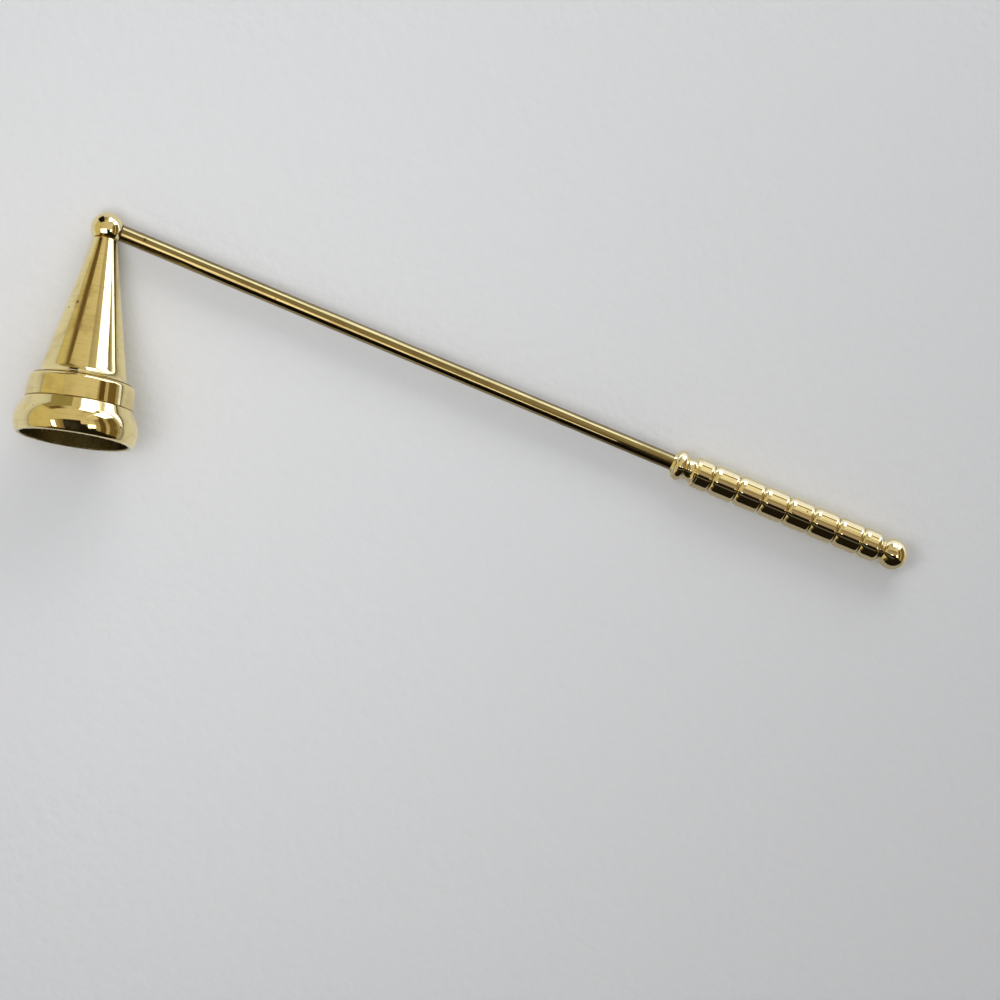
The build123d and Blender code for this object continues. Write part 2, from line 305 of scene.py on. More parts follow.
grip_end_reach = grip_front_reach + grip_length
shoulder_reach = grip_front_reach + rod_socket_depth
tail_end_reach = grip_end_reach + tail_past_grip
thread_start_reach = tail_end_reach - rod_edge - thread_pitch * (thread_turns + 0.5)
tail_core_radius = tail_radius - thread_depth
rod_section = [
    (rod_root_reach, 0),
    (rod_root_reach, rod_radius - rod_edge),
    (rod_root_reach + rod_edge, rod_radius),
    (shoulder_reach, rod_radius),
    (shoulder_reach, tail_radius),
    (thread_start_reach - thread_depth, tail_radius),
    (thread_start_reach, tail_core_radius),
    (tail_end_reach - rod_edge, tail_core_radius),
    (tail_end_reach, tail_core_radius - rod_edge),
    (tail_end_reach, 0),
]
rod = turned("rod_drawn", rod_section, rod_start, rod_way, rod_around, rod_edge_break)
rod.data.materials.append(rod_brass)
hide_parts("rod")
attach(rod, "root")


def node_tree(name, inputs):
    """An empty Geometry Nodes tree with a geometry input, these named inputs and a geometry output."""
    tree = bpy.data.node_groups.new(name, "GeometryNodeTree")
    tree.interface.new_socket("Geometry", in_out="INPUT", socket_type="NodeSocketGeometry")
    for title, kind in inputs.items():
        tree.interface.new_socket(title, in_out="INPUT", socket_type=kind)
    tree.interface.new_socket("Geometry", in_out="OUTPUT", socket_type="NodeSocketGeometry")
    return tree


def ended(tree, shape, material):
    """The end of a tree: instances made real, shaded smooth, and given their material."""
    real = add(tree, "GeometryNodeRealizeInstances", {"Geometry": shape}).outputs[0]
    smooth = add(tree, "GeometryNodeSetShadeSmooth", {"Geometry": real}).outputs[0]
    painted = add(tree, "GeometryNodeSetMaterial", {"Geometry": smooth, "Material": material}).outputs[0]
    tree.links.new(painted, tree.nodes.new("NodeGroupOutput").inputs[0])


def grown(name, tree, values, base, place):
    """The tree's result on a base mesh with these input values, as a plain mesh moved to its place."""
    source = shown(name + "_base", base)
    modifier = source.modifiers.new("nodes", "NODES")
    modifier.node_group = tree
    inputs = [item for item in tree.interface.items_tree if item.in_out == "INPUT"]
    sockets = {item.name: item.identifier for item in inputs}
    for title, value in values.items():
        modifier[sockets[title]] = value
    source.update_tag()
    done = source.evaluated_get(bpy.context.evaluated_depsgraph_get())
    mesh = bpy.data.meshes.new_from_object(done)
    mesh.name = name
    source.modifiers.remove(modifier)
    bpy.data.objects.remove(source)
    mesh.transform(place)
    return shown(name, mesh)


def thread_tree(ridge_share=0.55):
    """A screw thread's ridge: a four-cornered section that follows a coil round Z, from Z = 0 up. Half
    the section's width is ridge_share of the thread's depth, so that its foot sinks into the core."""
    tree = node_tree("thread", {
        "Radius": "NodeSocketFloat",
        "Depth": "NodeSocketFloat",
        "Pitch": "NodeSocketFloat",
        "Turns": "NodeSocketFloat",
        "Points": "NodeSocketInt",
        "Brass": "NodeSocketMaterial",
    })
    given = tree.nodes.new("NodeGroupInput").outputs
    half = times(tree, given["Depth"], ridge_share)
    coil_radius = worked(tree, "SUBTRACT", given["Radius"], half)
    coil = add(tree, "GeometryNodeCurveSpiral", {
        "Resolution": given["Points"],
        "Rotations": given["Turns"],
        "Start Radius": coil_radius,
        "End Radius": coil_radius,
        "Height": worked(tree, "MULTIPLY", given["Turns"], given["Pitch"]),
    }).outputs[0]
    upright = add(tree, "GeometryNodeSetCurveNormal", {"Curve": coil}, mode="Z_UP").outputs[0]
    section = add(tree, "GeometryNodeCurvePrimitiveCircle", {"Resolution": 4, "Radius": half}).outputs[0]
    ridge = {"Curve": upright, "Profile Curve": section, "Fill Caps": True}
    ended(tree, add(tree, "GeometryNodeCurveToMesh", ridge).outputs[0], given["Brass"])
    return tree


thread = thread_tree()


def threaded(name, radius, depth, pitch, turns, points, metal, start, way):
    """The ridge of a thread with these sizes, which runs from start along this way."""
    values = {"Radius": radius, "Depth": depth, "Pitch": pitch, "Turns": turns, "Points": points}
    values["Brass"] = metal
    return grown(name, thread, values, bpy.data.meshes.new(name + "_base"), stood(start, way))


thread_sizes = (tail_radius, thread_depth, thread_pitch, thread_turns, thread_points)
thread_start = rod_start + rod_way * (thread_start_reach + thread_pitch / 2)
tail_thread = threaded("tail_thread", *thread_sizes, rod_brass, thread_start, rod_way)
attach(tail_thread, "root")


# Knob: a polished brass ball that joins rod and bell, with a flat and a tapped hole for the bell.
# A thin run of solder, gone brown, fills the corner where the rod enters it.
knob_colour = (0.90, 0.76, 0.42)
knob_tarnish = (0.40, 0.26, 0.09)
solder_foot = 0.22 * mm
solder_in_rod = 0.08 * mm  # its root lies this deep in the rod
solder_in_knob = 0.05 * mm  # and this deep in the ball
solder_around = 96
solder_steps = 5
solder_colour = (0.16, 0.10, 0.04)
solder_dark = (0.03, 0.016, 0.007)


def knob_finish(tree, place):
    """Faint clouds, hair lines and a few specks on a mirror polish."""
    clouds = grained(tree, place, stretch=(1, 1, 1), scale=0.5)
    hairs = grained(tree, place, stretch=(1, 1, 9), scale=2.4, detail=2.0)
    dirt = times(tree, ramped(tree, clouds, 0.45, 0.8), 0.3)
    dirt = strongest(tree, dirt, specks(tree, place, spacing=1.9, size=0.42))
    return dirt, rougher(tree, dirt, clean=0.035, more=0.3), times(tree, hairs, 0.12)


def solder_finish(tree, place):
    """Uneven brown skin."""
    skin = grained(tree, place, stretch=(1, 1, 1), scale=1.6, detail=5.0)
    return ramped(tree, skin, 0.35, 0.6), rougher(tree, skin, clean=0.22, more=0.3), skin


knob = frame["nodes"]["knob"]
knob_brass = brass("knob_brass_polished", knob_colour, knob_tarnish, knob_centre, bell_way, knob_finish)
knob.material_slots[0].material = knob_brass

# the solder follows the line where the rod's round meets the ball, as a hollow fillet between the two
across_way = rod_way.cross(side_way)
solder = bmesh.new()
loops = []
for i in range(solder_around):
    turn = tau * i / solder_around
    out = side_way * cos(turn) + across_way * sin(turn)
    joint_side = rod_radius * cos(turn) - rod_lift
    joint_reach = sqrt(knob_radius**2 - joint_side**2 - (rod_radius * sin(turn)) ** 2)
    joint = rod_start + rod_way * joint_reach + out * rod_radius
    foot_on_rod = joint + rod_way * solder_foot
    away = (joint - knob_centre).normalized()
    along_ball = (out - away * out.dot(away)).normalized()
    ball_way = (joint + along_ball * solder_foot - knob_centre).normalized()
    foot_on_ball = knob_centre + ball_way * knob_radius
    root = joint - out * solder_in_rod - away * solder_in_knob
    shares = [s / solder_steps for s in range(solder_steps + 1)]
    hollow = [foot_on_rod * (1 - s) ** 2 + joint * 2 * s * (1 - s) + foot_on_ball * s**2 for s in shares]
    loops.append([solder.verts.new(p) for p in hollow + [root]])
for one, two in zip(loops, loops[1:] + loops[:1]):
    for i in range(len(one)):
        j = (i + 1) % len(one)
        solder.faces.new([one[i], one[j], two[j], two[i]])
solder_ring = made("solder", solder)
solder_brown = brass("solder_brown", solder_colour, solder_dark, rod_start, rod_way, solder_finish)
solder_ring.data.materials.append(solder_brown)
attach(solder_ring, "root")


# Bell: a turned hollow cone on a stepped band and a rounded foot moulding, one piece of brass.
# Two fine lines are cut round it, and its sharp turned edges are broken by polishing.
seat_drop = 3.0 * mm  # a drop runs along the bell from the knob's centre to the mouth
mouth_drop = seat_drop + 62.1 * mm
tip_radius = 3.5 * mm
tip_bevel = 0.3 * mm
cone_foot_height = 20.7 * mm  # and a height runs back from the mouth
cone_foot_radius = 12.9 * mm
flare_radius = 15.05 * mm
nick_height = 18.05 * mm
nick_width = 0.3 * mm
nick_depth = 0.3 * mm
shoulder_top_radius = 15.1 * mm
band_top_height = 16.7 * mm
band_top_radius = 16.1 * mm
band_radius = 16.45 * mm
crease_height = 10.7 * mm
crease_width = 0.3 * mm
crease_depth = 0.25 * mm
belt_radius = 18.85 * mm
belt_curve = 7.8 * mm
belt_top_angle = 29.0
belt_foot_angle = 27.5
lip_curl = 0.93 * mm
mouth_radius = 16.25 * mm
lip_bevel = 0.25 * mm
mouth_bore_height = 5.9 * mm
band_bore_radius = 14.9 * mm
band_bore_foot_height = 8.9 * mm
band_bore_top_height = 15.9 * mm
cone_wall = 1.2 * mm
bell_floor_drop = 7.0 * mm
head_room_radius = 2.75 * mm
screw_hole_radius = 1.4 * mm
bell_edge_break = 0.12 * mm
bell_around = 256
bell_colour = (0.90, 0.76, 0.37)
bell_tarnish = (0.34, 0.20, 0.055)
# the inside is a darker copy of the bell's brass, painted shade of the hollow
inside_shaded_colour = (0.38, 0.31, 0.13)
inside_shade_colour = (0.035, 0.022, 0.009)
shade_full_depth = 16.0 * mm  # painted shade: from this far in, the inside is dark all over


def arc(centre, radius, start, end, steps):
    """Points (along, out) on an arc of a half section, angles in degrees from the axis's way."""
    turns = [radians(start + (end - start) * i / steps) for i in range(steps + 1)]
    return [(centre[0] + radius * cos(t), centre[1] + radius * sin(t)) for t in turns]


def tangent_arc(start, way, end, steps):
    """Points on the arc from start, setting off along way, to end, without its first point."""
    start, end, way = Vector(start), Vector(end), Vector(way).normalized()
    chord = end - start
    square = Vector((-way.y, way.x))
    radius = chord.length_squared / (2 * chord.dot(square))
    centre = start + square * radius
    first = atan2(start.y - centre.y, start.x - centre.x)
    swing = atan2(end.y - centre.y, end.x - centre.x) - first
    if radius > 0:
        swing %= tau
    else:
        swing = -((-swing) % tau)
    turns = [first + swing * i / steps for i in range(1, steps + 1)]
    return [(centre.x + abs(radius) * cos(t), centre.y + abs(radius) * sin(t)) for t in turns]


belt_foot_sine = sin(radians(belt_foot_angle))
belt_height = belt_curve * belt_foot_sine + lip_curl * (1 - belt_foot_sine)
belt_centre = (mouth_drop - belt_height, belt_radius - belt_curve)
nick_drop = mouth_drop - nick_height
crease_drop = mouth_drop - crease_height
cone_foot = (mouth_drop - cone_foot_height, cone_foot_radius)
cone_way = (cone_foot[0] - seat_drop - tip_bevel, cone_foot_radius - tip_radius)
flare_end = (nick_drop - nick_width / 2, flare_radius)
nick_end = (nick_drop + nick_width / 2, shoulder_top_radius)
band_top = (mouth_drop - band_top_height, band_top_radius)
band_foot = (crease_drop - crease_width / 2, band_radius)
hollow_top = (crease_drop + crease_width / 2, band_radius)
band_way = (band_top[0] - band_foot[0], band_top[1] - band_foot[1])
belt_arc = arc(belt_centre, belt_curve, 90 + belt_top_angle, 90 - belt_foot_angle, steps=26)
hollow_way = (-cos(radians(belt_top_angle)), -sin(radians(belt_top_angle)))
lip_centre = (mouth_drop - lip_curl, belt_arc[-1][1] - lip_curl * cos(radians(belt_foot_angle)))

# the outside, from the screw's hole down to the lip
bell_section = [(seat_drop, screw_hole_radius), (seat_drop, tip_radius - tip_bevel)]
bell_section += [(seat_drop + tip_bevel, tip_radius), cone_foot]
bell_section += tangent_arc(cone_foot, cone_way, flare_end, steps=10)
bell_section += [(nick_drop, flare_radius - nick_depth), nick_end]
bell_section += tangent_arc(band_top, band_way, nick_end, steps=10)[-2::-1] + [band_top]
bell_section += [band_foot, (crease_drop, band_radius - crease_depth), hollow_top]
bell_section += tangent_arc(belt_arc[0], hollow_way, hollow_top, steps=12)[-2::-1] + belt_arc
bell_section += arc(lip_centre, lip_curl, 90 - belt_foot_angle, 0, steps=8)[1:]

# the inside, from the lip back up to the screw's hole
bell_section += [
    (mouth_drop, mouth_radius + lip_bevel),
    (mouth_drop - lip_bevel, mouth_radius),
    (mouth_drop - mouth_bore_height, mouth_radius),
    (mouth_drop - band_bore_foot_height, band_bore_radius),
    (mouth_drop - band_bore_top_height, band_bore_radius),
    (cone_foot[0], cone_foot_radius - cone_wall),
    (bell_floor_drop, head_room_radius),
    (bell_floor_drop, screw_hole_radius),
    (seat_drop, screw_hole_radius),
]
bell = turned("bell_turned", bell_section, knob_centre, bell_way, bell_around, bell_edge_break)


def off_axis(tree, part):
    """How far each spot lies from the piece's axis, in millimetres."""
    squares = [worked(tree, "POWER", part[side], 2.0) for side in ("X", "Y")]
    return worked(tree, "SQRT", worked(tree, "ADD", *squares))


def bell_finish(tree, place):
    """Turning lines round the bell, clouds and specks of tarnish, and old polish in the cut lines."""
    part = add(tree, "ShaderNodeSeparateXYZ", {"Vector": place}).outputs
    # the turning lines stand square to the cone's side
    slope = worked(tree, "MULTIPLY_ADD", off_axis(tree, part), 0.8, part["Z"])
    rings = add(tree, "ShaderNodeCombineXYZ", {"X": part["X"], "Y": part["Y"], "Z": slope}).outputs[0]
    lines = grained(tree, rings, stretch=(0.02, 0.02, 1), scale=3.4, detail=4.0)
    bands = grained(tree, rings, stretch=(0.03, 0.03, 1), scale=0.55, detail=2.0)
    clouds = grained(tree, place, stretch=(1, 1, 1), scale=0.16, detail=5.0)
    dirt = times(tree, ramped(tree, clouds, 0.45, 0.75), 0.32)
    dirt = worked(tree, "MULTIPLY_ADD", ramped(tree, lines, 0.5, 0.8), 0.25, dirt)
    for drop in (seat_drop, nick_drop, crease_drop):
        off = worked(tree, "ABSOLUTE", worked(tree, "SUBTRACT", part["Z"], drop / mm))
        dirt = strongest(tree, dirt, times(tree, ramped(tree, off, 0.34, 0.1), 0.75))
    dirt = strongest(tree, dirt, specks(tree, place, spacing=2.4, size=0.62))
    height = worked(tree, "MULTIPLY_ADD", bands, 0.5, times(tree, lines, 0.34))
    return dirt, rougher(tree, dirt, clean=0.06, more=0.22), height


def bell_inside_finish(tree, place):
    """A dull turned skin in painted shade, dark brown and darker the further in."""
    part = add(tree, "ShaderNodeSeparateXYZ", {"Vector": place}).outputs
    lines = grained(tree, place, stretch=(0.02, 0.02, 1), scale=2.6)
    clouds = grained(tree, place, stretch=(1, 1, 1), scale=0.2, detail=5.0)
    # painted shade, deepening from the mouth inwards
    deep = ramped(tree, part["Z"], mouth_drop / mm, (mouth_drop - shade_full_depth) / mm)
    dirt = strongest(tree, times(tree, ramped(tree, clouds, 0.35, 0.65), 0.5), deep)
    return dirt, rougher(tree, dirt, clean=0.18, more=0.25), lines


for name, colour, dark, finish in (
    ("bell_brass_turned", bell_colour, bell_tarnish, bell_finish),
    ("bell_brass_inside", inside_shaded_colour, inside_shade_colour, bell_inside_finish),
):
    bell.data.materials.append(brass(name, colour, dark, knob_centre, bell_way, finish))
# faces inside the hollow get the darker copy, the painted shade
for face in bell.data.polygons:
    from_axis = face.center - knob_centre
    out = from_axis - bell_way * from_axis.dot(bell_way)
    if face.normal.dot(out) < 0 or out.length < head_room_radius:
        face.material_index = 1
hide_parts("bell")
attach(bell, "root")


# Bell screw: a slotted cheese-head brass screw, put in from inside the bell through its tip and
# tightened into the knob.
screw_radius = 1.25 * mm
screw_length = 8.0 * mm
screw_head_radius = 2.25 * mm
screw_head_height = 1.6 * mm
screw_plain = 0.7 * mm  # the plain length under the head
screw_plain_bevel = 0.2 * mm
screw_point = 0.3 * mm
screw_edge_break = 0.15 * mm
screw_edge_guard = 0.04 * mm
screw_sharp = radians(40)
screw_around = 64
slot_width = 0.6 * mm
slot_depth = 0.8 * mm
slot_reach = 1.2 * screw_head_radius
screw_thread_pitch = 0.45 * mm
screw_thread_depth = 0.24 * mm
screw_thread_turns = 15
screw_thread_points = 28
screw_colour = (0.48, 0.36, 0.14)
screw_tarnish = (0.12, 0.07, 0.025)


def screw_finish(tree, place):
    """Turned, dull, darker where dirt stays."""
    lines = grained(tree, place, stretch=(0.05, 0.05, 1), scale=4.0, detail=2.0)
    clouds = grained(tree, place, stretch=(1, 1, 1), scale=0.9)
    return ramped(tree, clouds, 0.35, 0.7), rougher(tree, clouds, clean=0.25, more=0.25), lines


screw_brass = brass("screw_brass_dull", screw_colour, screw_tarnish, knob_centre, bell_way, screw_finish)
screw_tip_drop = bell_floor_drop - screw_length
screw_top_drop = bell_floor_drop + screw_head_height
screw_core_radius = screw_radius - screw_thread_depth
screw_section = [
    (screw_tip_drop, 0),
    (screw_tip_drop, screw_core_radius - screw_point),
    (screw_tip_drop + screw_point, screw_core_radius),
    (bell_floor_drop - screw_plain - screw_plain_bevel, screw_core_radius),
    (bell_floor_drop - screw_plain, screw_radius),
    (bell_floor_drop, screw_radius),
    (bell_floor_drop, screw_head_radius),
    (screw_top_drop, screw_head_radius),
    (screw_top_drop, 0),
]
screw_breaks = (screw_edge_break, screw_edge_guard)
screw = turned("screw_turned", screw_section, knob_centre, bell_way, screw_around, *screw_breaks)

# the slot is sawn straight across the head
slot_across = across_way.cross(bell_way)
cutter_shape = bmesh.new()
for along in (screw_top_drop - slot_depth, screw_top_drop + slot_depth):
    for wide, deep in ((-1, -1), (1, -1), (1, 1), (-1, 1)):
        spot = knob_centre + bell_way * along
        spot += slot_across * wide * slot_width / 2 + across_way * deep * slot_reach
        cutter_shape.verts.new(spot)
corners = list(cutter_shape.verts)
for loop in ((0, 1, 2, 3), (4, 5, 6, 7), (0, 1, 5, 4), (1, 2, 6, 5), (2, 3, 7, 6), (3, 0, 4, 7)):
    cutter_shape.faces.new([corners[i] for i in loop])
cutter = made("slot_cutter", cutter_shape)
cut = screw.modifiers.new("slot", "BOOLEAN")
cut.object = cutter
bpy.context.view_layer.update()
slotted = bpy.data.meshes.new_from_object(screw.evaluated_get(bpy.context.evaluated_depsgraph_get()))
screw.modifiers.remove(cut)
screw.data = slotted
bpy.data.objects.remove(cutter)
slotted.materials.clear()
slotted.materials.append(screw_brass)
slotted.shade_smooth()
slotted.set_sharp_from_angle(angle=screw_sharp)
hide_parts("bell_screw")
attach(screw, "root")

thread_sizes = (screw_radius, screw_thread_depth, screw_thread_pitch)
thread_sizes += (screw_thread_turns, screw_thread_points)
thread_start = knob_centre + bell_way * (screw_tip_drop + screw_point)
screw_thread = threaded("screw_thread", *thread_sizes, screw_brass, thread_start, bell_way)
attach(screw_thread, "root")


# Grip: one bar of brass turned to a bead, a hollow and a row of eight barrels, bored for the rod and
# clamped between the rod's shoulder and the pommel.
slide_gap = 0.05 * mm
face_radius = 2.75 * mm
bead_run = 2.65 * mm
bead_radius = 4.75 * mm
bead_curve = 2.0 * mm
bead_start_radius = 3.45 * mm
cove_radius = 3.43 * mm
cove_curve = 2.14 * mm
crest_land = 0.27 * mm
line_width = 0.5 * mm
line_depth = 0.3 * mm
barrel_radius = 4.8 * mm
barrel_count = 8
first_barrel_length = 5.02 * mm
barrel_pitch = 8.43 * mm
groove_depth = 0.85 * mm
front_round = 2.8 * mm
back_round = 1.15 * mm
end_round = 1.9 * mm
last_shoulder_drop = 1.3 * mm
groove_dirt_run = 8.0 * mm  # old polish lies in the grooves from here on
grip_edge_break = 0.09 * mm
grip_around = 128
barrel_rows = 35
grip_colour = (0.90, 0.77, 0.44)
grip_tarnish = (0.14, 0.09, 0.035)

groove_radius = barrel_radius - groove_depth


def grip_finish(tree, place):
    """Mirror bright, with old polish down in the grooves and faint turning lines."""
    part = add(tree, "ShaderNodeSeparateXYZ", {"Vector": place}).outputs
    lines = grained(tree, place, stretch=(0.03, 0.03, 1), scale=3.0)
    clouds = grained(tree, place, stretch=(1, 1, 1), scale=0.3, detail=4.0)
    bottom = groove_radius / mm
    in_groove = times(tree, ramped(tree, off_axis(tree, part), bottom + 0.22, bottom + 0.02), 0.85)
    dirt_start = (grip_front_reach + groove_dirt_run) / mm
    past_front = ramped(tree, part["Z"], dirt_start, dirt_start + 1.0)
    dirt = worked(tree, "MULTIPLY", in_groove, past_front)
    dirt = worked(tree, "MULTIPLY_ADD", ramped(tree, clouds, 0.5, 0.8), 0.12, dirt)
    dirt = strongest(tree, dirt, specks(tree, place, spacing=2.2, size=0.4))
    return dirt, rougher(tree, dirt, clean=0.035, more=0.25), times(tree, lines, 0.12)


grip_brass = brass("grip_brass_polished", grip_colour, grip_tarnish, rod_start, rod_way, grip_finish)


def barrels_tree(crowding=0.7, seam_weld=0.004 * mm):
    """The middle barrels: one turned band from groove to groove, set along Z at the pitch and joined
    to the rest of the grip. Its radius falls to each groove on the round of that shoulder."""
    tree = node_tree("barrels", {
        "Radius": "NodeSocketFloat",
        "Groove Depth": "NodeSocketFloat",
        "Front Round": "NodeSocketFloat",
        "Back Round": "NodeSocketFloat",
        "Pitch": "NodeSocketFloat",
        "Start": "NodeSocketFloat",
        "First Spoke": "NodeSocketFloat",
        "Barrels": "NodeSocketInt",
        "Around": "NodeSocketInt",
        "Rows": "NodeSocketInt",
        "Brass": "NodeSocketMaterial",
    })
    given = tree.nodes.new("NodeGroupInput").outputs

    def short_side(long, other):
        """The third side of a right-angled triangle, from its longest side and one other."""
        squares = [worked(tree, "POWER", side, 2.0) for side in (long, other)]
        return worked(tree, "SQRT", worked(tree, "SUBTRACT", *squares))

    columns = worked(tree, "ADD", given["Around"], 1.0)
    grid = {"Size X": 1.0, "Size Y": 1.0, "Vertices X": columns, "Vertices Y": given["Rows"]}
    sheet = add(tree, "GeometryNodeMeshGrid", grid).outputs["Mesh"]
    on_sheet = tree.nodes.new("GeometryNodeInputPosition").outputs[0]
    flat = add(tree, "ShaderNodeSeparateXYZ", {"Vector": on_sheet}).outputs
    turn = worked(tree, "MULTIPLY_ADD", worked(tree, "ADD", flat["X"], 0.5), tau, given["First Spoke"])
    # rows crowd towards the grooves, where the shoulders' rounds are
    share = worked(tree, "ADD", flat["Y"], 0.5)
    wave = worked(tree, "SINE", times(tree, share, tau))
    share = worked(tree, "MULTIPLY_ADD", wave, -crowding / tau, share)
    along = worked(tree, "MULTIPLY", share, given["Pitch"])
    left_over = worked(tree, "SUBTRACT", given["Pitch"], along)
    drops = []
    for curve, from_groove in ((given["Front Round"], along), (given["Back Round"], left_over)):
        length = short_side(curve, worked(tree, "SUBTRACT", curve, given["Groove Depth"]))
        left = worked(tree, "MAXIMUM", worked(tree, "SUBTRACT", length, from_groove), 0.0)
        drops.append(worked(tree, "SUBTRACT", curve, short_side(curve, left)))
    out = worked(tree, "SUBTRACT", given["Radius"], worked(tree, "ADD", *drops))
    spot = add(tree, "ShaderNodeCombineXYZ", {
        "X": worked(tree, "MULTIPLY", out, worked(tree, "COSINE", turn)),
        "Y": worked(tree, "MULTIPLY", out, worked(tree, "SINE", turn)),
        "Z": worked(tree, "ADD", along, given["Start"]),
    }).outputs[0]
    band = add(tree, "GeometryNodeSetPosition", {"Geometry": sheet, "Position": spot}).outputs[0]
    step = add(tree, "ShaderNodeCombineXYZ", {"Z": given["Pitch"]}).outputs[0]
    row = add(tree, "GeometryNodeMeshLine", {"Count": given["Barrels"], "Offset": step}).outputs[0]
    bands = add(tree, "GeometryNodeInstanceOnPoints", {"Points": row, "Instance": band}).outputs[0]
    bands = add(tree, "GeometryNodeRealizeInstances", {"Geometry": bands}).outputs[0]
    whole = tree.nodes.new("GeometryNodeJoinGeometry")
    tree.links.new(bands, whole.inputs[0])
    tree.links.new(given["Geometry"], whole.inputs[0])
    seams = {"Geometry": whole.outputs[0], "Distance": seam_weld}
    ended(tree, add(tree, "GeometryNodeMergeByDistance", seams).outputs[0], given["Brass"])
    return tree


def fallen(radius, drop):
    """How long a round of this radius is by the time it has dropped this far from its crown."""
    return sqrt(radius**2 - (radius - drop) ** 2)


def shoulder(reach, curve, start_drop, end_drop, side):
    """The round at one end of a barrel, from one drop below its crown to another. side is -1 before the
    crown and 1 after it."""
    start = 90 - side * degrees(asin(fallen(curve, start_drop) / curve))
    end = 90 - side * degrees(asin(fallen(curve, end_drop) / curve))
    return arc((reach, barrel_radius - curve), curve, start, end, steps=10)


bead_centre = (grip_front_reach + bead_run, bead_radius - bead_curve)
cove_out = cove_radius + cove_curve
cove_along = sqrt((bead_curve + cove_curve) ** 2 - (cove_out - bead_centre[1]) ** 2)
cove_centre = (bead_centre[0] + cove_along, cove_out)
join_angle = atan2(cove_centre[1] - bead_centre[1], cove_centre[0] - bead_centre[0])
crest_angle = asin((barrel_radius - cove_out) / cove_curve)
crest_reach = cove_centre[0] + cove_curve * cos(crest_angle)
line_reach = crest_reach + crest_land + line_width / 2
first_groove_reach = line_reach + first_barrel_length
last_groove_reach = first_groove_reach + (barrel_count - 2) * barrel_pitch
bead_start_angle = pi - asin((bead_start_radius - bead_centre[1]) / bead_curve)
last_barrel_top = last_groove_reach + fallen(front_round, groove_depth)
last_barrel_end = grip_end_reach - fallen(end_round, last_shoulder_drop)
first_barrel_end = first_groove_reach - fallen(back_round, groove_depth)

# the last barrel, the bore, bead, cove, line and first barrel; the tree adds the barrels between
grip_section = shoulder(last_barrel_top, front_round, groove_depth, 0, side=-1)
grip_section += shoulder(last_barrel_end, end_round, 0, last_shoulder_drop, side=1)
grip_section += [
    (grip_end_reach, tail_radius + slide_gap),
    (shoulder_reach, tail_radius + slide_gap),
    (shoulder_reach, rod_radius + slide_gap),
    (grip_front_reach, rod_radius + slide_gap),
    (grip_front_reach, face_radius),
]
grip_section += arc(bead_centre, bead_curve, degrees(bead_start_angle), degrees(join_angle), steps=24)
cove_angles = (degrees(join_angle) - 180, degrees(crest_angle))
grip_section += arc(cove_centre, cove_curve, *cove_angles, steps=20)[1:]
grip_section += [
    (line_reach - line_width / 2, barrel_radius),
    (line_reach, barrel_radius - line_depth),
    (line_reach + line_width / 2, barrel_radius),
]
grip_section += shoulder(first_barrel_end, back_round, 0, groove_depth, side=1)
upright = Vector((0, 0, 1))
grip_ends = turned("grip_ends", grip_section, Vector((0, 0, 0)), upright, grip_around, grip_edge_break)
grip_ends_mesh = grip_ends.data
grip_ends_mesh.materials.append(grip_brass)
bpy.data.objects.remove(grip_ends)
first_spoke = upright.orthogonal()
grip_values = {
    "Radius": barrel_radius,
    "Groove Depth": groove_depth,
    "Front Round": front_round,
    "Back Round": back_round,
    "Pitch": barrel_pitch,
    "Start": first_groove_reach,
    "First Spoke": atan2(first_spoke.y, first_spoke.x),
    "Barrels": barrel_count - 2,
    "Around": grip_around,
    "Rows": barrel_rows,
    "Brass": grip_brass,
}
grip = grown("grip_turned", barrels_tree(), grip_values, grip_ends_mesh, stood(rod_start, rod_way))
closing = bmesh.new()
closing.from_mesh(grip.data)
bmesh.ops.recalc_face_normals(closing, faces=closing.faces)
closing.to_mesh(grip.data)
closing.free()
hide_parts("grip")
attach(grip, "root")


# Pommel: a ball nut with a short neck, turned in one piece and screwed on the rod's tail against the
# end of the grip.
neck_radius = 3.3 * mm
neck_length = 0.88 * mm
neck_dirt_run = 0.8 * mm
neck_dirt_full = 0.1 * mm  # old polish is thick up to here, and gone at neck_dirt_run
thread_gap = 0.03 * mm
tap_run = 0.5 * mm
tap_radius = tail_radius + thread_gap
pommel_edge_break = 0.06 * mm
pommel_around = 128


def pommel_finish(tree, place):
    """A mirror polish with faint clouds and a little old polish at the neck."""
    part = add(tree, "ShaderNodeSeparateXYZ", {"Vector": place}).outputs
    clouds = grained(tree, place, stretch=(1, 1, 1), scale=0.4)
    fade = (grip_end_reach + neck_dirt_run) / mm, (grip_end_reach + neck_dirt_full) / mm
    at_neck = times(tree, ramped(tree, part["Z"], *fade), 0.5)
    dirt = worked(tree, "MULTIPLY_ADD", ramped(tree, clouds, 0.5, 0.8), 0.12, at_neck)
    dirt = strongest(tree, dirt, specks(tree, place, spacing=2.0, size=0.4))
    return dirt, rougher(tree, dirt, clean=0.035, more=0.25), times(tree, clouds, 0.2)


neck_angle = 180 - degrees(asin(neck_radius / pommel_radius))
pommel_section = [
    (tail_end_reach + tap_run, 0),
    (tail_end_reach + tap_run, tap_radius),
    (grip_end_reach, tap_radius),
    (grip_end_reach, neck_radius),
    (grip_end_reach + neck_length, neck_radius),
]
pommel_section += arc((pommel_reach, 0), pommel_radius, neck_angle, 0, steps=48)[1:-1]
pommel_section += [(pommel_reach + pommel_radius, 0)]
pommel = turned("pommel_turned", pommel_section, rod_start, rod_way, pommel_around, pommel_edge_break)
pommel_skin = (grip_colour, grip_tarnish, rod_start, rod_way, pommel_finish)
pommel.data.materials.append(brass("pommel_brass_polished", *pommel_skin))
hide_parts("pommel")
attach(pommel, "root")


